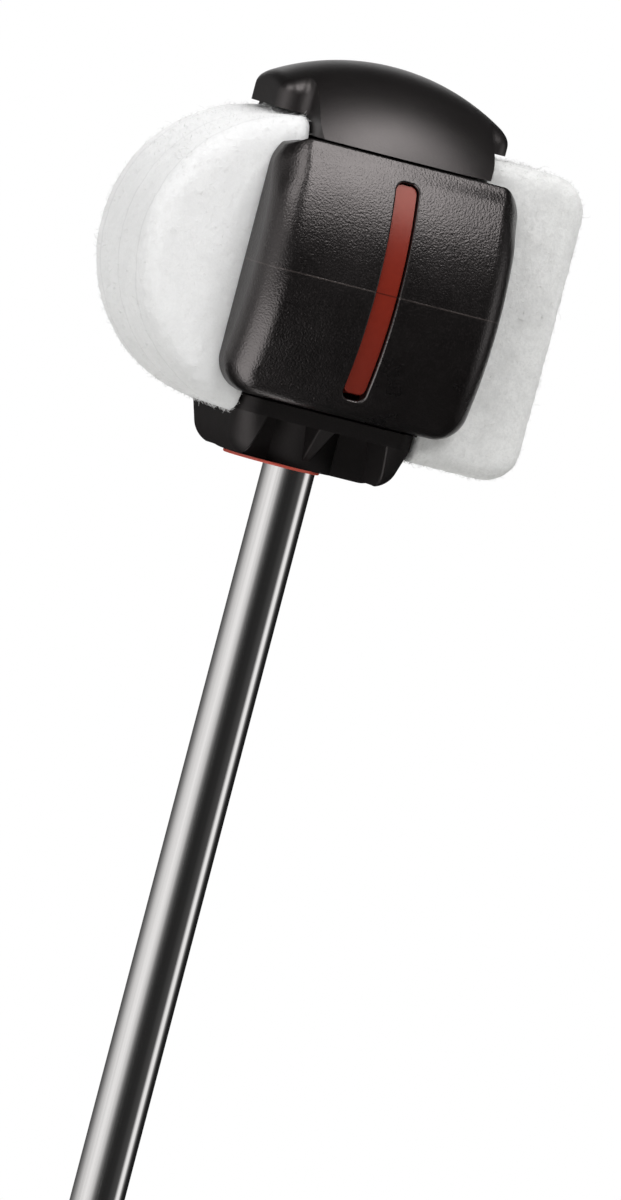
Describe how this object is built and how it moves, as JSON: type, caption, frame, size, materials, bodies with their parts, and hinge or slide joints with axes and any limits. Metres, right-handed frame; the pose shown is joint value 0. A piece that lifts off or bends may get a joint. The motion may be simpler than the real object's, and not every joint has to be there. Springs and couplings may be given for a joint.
{
  "type": "bass drum beater",
  "caption": "Bass drum beater: a steel shaft carries a black head with a round felt face, a flat felt face, a domed cap and crowned side covers with red weight slots.",
  "frame": {"origin": "on the shaft's axis, 30 mm above its lower end, where a pedal's clamp grips it", "axes": "+Z along the shaft towards the head, +X towards the flat felt face, -Y towards the front weight cover"},
  "size_m": [0.0669, 0.0454, 0.2213],
  "materials": {
    "chromed_steel": "polished chrome plate on steel",
    "plated_steel": "zinc plated steel",
    "black_plastic": "moulded black plastic with a fine spark texture",
    "red_nylon": "moulded red nylon",
    "red_lacquer": "red lacquered steel",
    "white_felt": "pressed white wool felt",
    "foam": "closed cell foam"
  },
  "bodies": {
    "head": {"shaft": "chromed_steel", "shaft_bush": "red_nylon", "base_bracket": "black_plastic", "roll_pin": "plated_steel", "bracket_screws": "plated_steel", "core_block": "black_plastic", "flat_washer": "plated_steel", "lock_washer": "plated_steel", "hex_nut": "plated_steel", "round_felt_pad": "white_felt", "flat_felt_pad": "white_felt", "round_pad_carrier": "black_plastic", "flat_pad_carrier": "black_plastic"},
    "cap": {"top_cap": "black_plastic"},
    "front_cover_set": {"front_cover": "black_plastic", "front_weight": "red_lacquer", "front_weight_foam": "foam"},
    "rear_cover_set": {"rear_cover": "black_plastic", "rear_weight": "red_lacquer", "rear_weight_foam": "foam"}
  },
  "joints": [
    {"name": "cap_lift", "type": "slide", "parent": "head", "child": "cap", "axis": [0, 0, 1], "range_m": [0, 0.02]},
    {"name": "front_cover_pull", "type": "slide", "parent": "head", "child": "front_cover_set", "axis": [0, -1, 0], "range_m": [0, 0.025]},
    {"name": "rear_cover_pull", "type": "slide", "parent": "head", "child": "rear_cover_set", "axis": [0, 1, 0], "range_m": [0, 0.025]}
  ]
}
